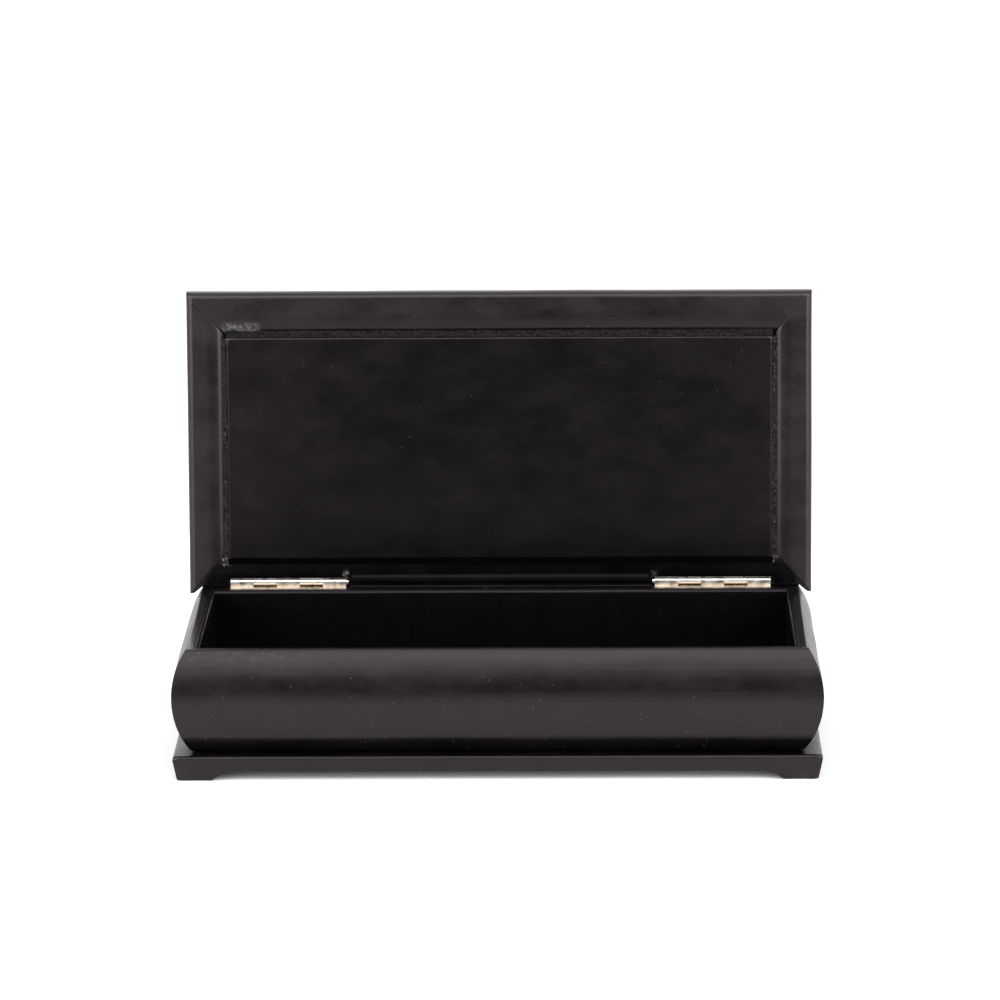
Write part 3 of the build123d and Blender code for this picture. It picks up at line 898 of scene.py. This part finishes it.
@dataclass
class Studio:
    """Camera, white floor, lamps and the dark card on the camera's side."""

    aim: Triple = (0.000664, -0.0030956, 0.080319)  # what the camera and the lamps look at
    elevation: float = radians(11.6)
    yaw: float = radians(-0.775)
    roll: float = radians(-0.359)
    distance: float = 1.9792
    lens: float = 221.89
    sensor: float = 36.0
    floor_size: float = 6.0
    floor_white: Colour = (0.96, 0.96, 0.96)
    floor_rough: float = 0.9
    floor_gain: float = 1.35  # the photograph's over-exposed floor, for the camera alone
    grey: float = 0.38
    grey_front: Pair = (-0.60, -0.16)  # floor that the leather mirrors as grey
    grey_soft: float = 0.04
    card_black: Colour = (0.01, 0.01, 0.01)
    card_near: Triple = (0.14, 0.38, 0.0)  # half width, distance and height of an end
    card_far: Triple = (0.50, 2.0, 0.72)
    fill: float = 0.4  # white room's light on dull surfaces
    lamps: tuple[Lamp, ...] = (
        Lamp("front_softbox", (0.0, -1.35, 1.55), (1.5, 0.8), 4.8),
        Lamp("left_softbox", (-1.12, -1.25, 0.65), (1.7, 1.2), 25.0),
        Lamp("right_softbox", (1.12, -1.25, 0.65), (1.7, 1.2), 25.0),
    )

    def build(self) -> None:
        """Sets the studio up."""
        self.camera()
        self.floor()
        self.dark_card()
        for lamp in self.lamps:
            lamp.hang(Vector(self.aim))
        self.world()
        bpy.context.scene.view_settings.view_transform = "Standard"

    def camera(self) -> None:
        """Places the camera where the photograph was taken from."""
        ahead = Vector((sin(self.yaw) * cos(self.elevation), cos(self.yaw) * cos(self.elevation),
                        -sin(self.elevation)))
        right = Vector((cos(self.yaw), -sin(self.yaw), 0))
        up = right.cross(ahead)
        side = right * cos(self.roll) + up * sin(self.roll)
        top = up * cos(self.roll) - right * sin(self.roll)
        view = Matrix((side, top, -ahead)).transposed().to_4x4()
        view.translation = Vector(self.aim) - ahead * self.distance
        camera = bpy.data.objects.new("camera", bpy.data.cameras.new("camera"))
        camera.data.lens = self.lens
        camera.data.sensor_width = self.sensor
        camera.matrix_world = view
        bpy.context.scene.collection.objects.link(camera)
        bpy.context.scene.camera = camera

    def floor(self) -> None:
        """Lays the floor, which doesn't show from below."""
        graph = Graph("studio_floor")
        path = graph.node("ShaderNodeLightPath").outputs
        front = graph.window(Axis.Y, *self.grey_front, self.grey_soft)
        mirrored = graph.maths("MULTIPLY", path["Is Glossy Ray"], front)
        plain = graph.blend(mirrored, self.floor_white, (self.grey,) * 3)
        white = graph.blend(path["Is Camera Ray"], plain, (self.floor_gain,) * 3)
        graph.surface(white, self.floor_rough, gloss=0.0)
        clear = graph.node("ShaderNodeBsdfTransparent").outputs[0]
        under = graph.node("ShaderNodeNewGeometry").outputs["Backfacing"]
        both = graph.node("ShaderNodeMixShader", {0: under, 1: graph.shader.outputs[0], 2: clear})
        graph.feed(graph.tree.nodes["Material Output"].inputs["Surface"], both.outputs[0])
        self.stage("studio_floor", self.sheet((self.floor_size, self.floor_size)), graph.material)

    def dark_card(self) -> None:
        """Slopes a black card under the camera, unseen by it, for the leather to mirror."""
        graph = Graph("studio_card")
        graph.surface(self.card_black, 1.0, gloss=0.0)
        shape = self.sheet((1, 1))
        for vertex in shape.verts:
            half, away, height = self.card_near if vertex.co.y > 0 else self.card_far
            vertex.co = (vertex.co.x * half, -away, height)
        card = self.stage("studio_card", shape, graph.material)
        card.visible_camera = card.visible_shadow = card.visible_diffuse = False

    @staticmethod
    def sheet(half: Pair) -> bmesh.types.BMesh:
        """Draws a flat sheet at the origin.

        Args:
            half: Half width and half depth.

        Returns:
            The sheet's shape.
        """
        shape = bmesh.new()
        bmesh.ops.create_grid(shape, x_segments=1, y_segments=1, size=1)
        bmesh.ops.scale(shape, vec=(*half, 1), verts=shape.verts)
        return shape

    @staticmethod
    def stage(name: str, shape: bmesh.types.BMesh,
              material: bpy.types.Material) -> bpy.types.Object:
        """Adds something that isn't part of the object.

        Args:
            name: Its name.
            shape: Its shape, freed here.
            material: Its material.

        Returns:
            What was added.
        """
        mesh = bpy.data.meshes.new(name)
        shape.to_mesh(mesh)
        shape.free()
        mesh.materials.append(material)
        added = bpy.data.objects.new(name, mesh)
        bpy.context.scene.collection.objects.link(added)
        return added

    def world(self) -> None:
        """Lights the room evenly, and shows it white to the camera and in the gloss."""
        world = bpy.data.worlds.new("studio_world")
        world.use_nodes = True
        tree = world.node_tree
        background = tree.nodes["Background"]
        background.inputs["Color"].default_value = (1, 1, 1, 1)
        path = tree.nodes.new("ShaderNodeLightPath")
        seen: Socket | None = None
        for name in ("Is Camera Ray", "Is Glossy Ray", "Is Transmission Ray"):
            either = tree.nodes.new("ShaderNodeMath")
            either.operation = "MAXIMUM"
            tree.links.new(path.outputs[name], either.inputs[0])
            if seen is not None:
                tree.links.new(seen, either.inputs[1])
            seen = either.outputs[0]
        strength = tree.nodes.new("ShaderNodeMapRange")
        strength.inputs["To Min"].default_value = self.fill
        tree.links.new(seen, strength.inputs["Value"])
        tree.links.new(strength.outputs[0], background.inputs["Strength"])
        bpy.context.scene.world = world


def main() -> None:
    """Loads the frame, dresses the box and sets up the studio."""
    logging.basicConfig(level=logging.INFO, format="%(message)s")
    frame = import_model()
    nodes = frame["nodes"]
    joint = frame["joints"][0]
    wood = Wood("black_stained_wood").material()
    for node in nodes.values():
        node.data.materials.clear()
        node.data.materials.append(wood)
    Body().build(nodes)
    Lid(Vector(joint["pos_m"]), radians(-min(joint["range_deg"]))).build(nodes)
    Hinges().build(nodes)
    Studio().build()


if __name__ == "__main__":
    main()
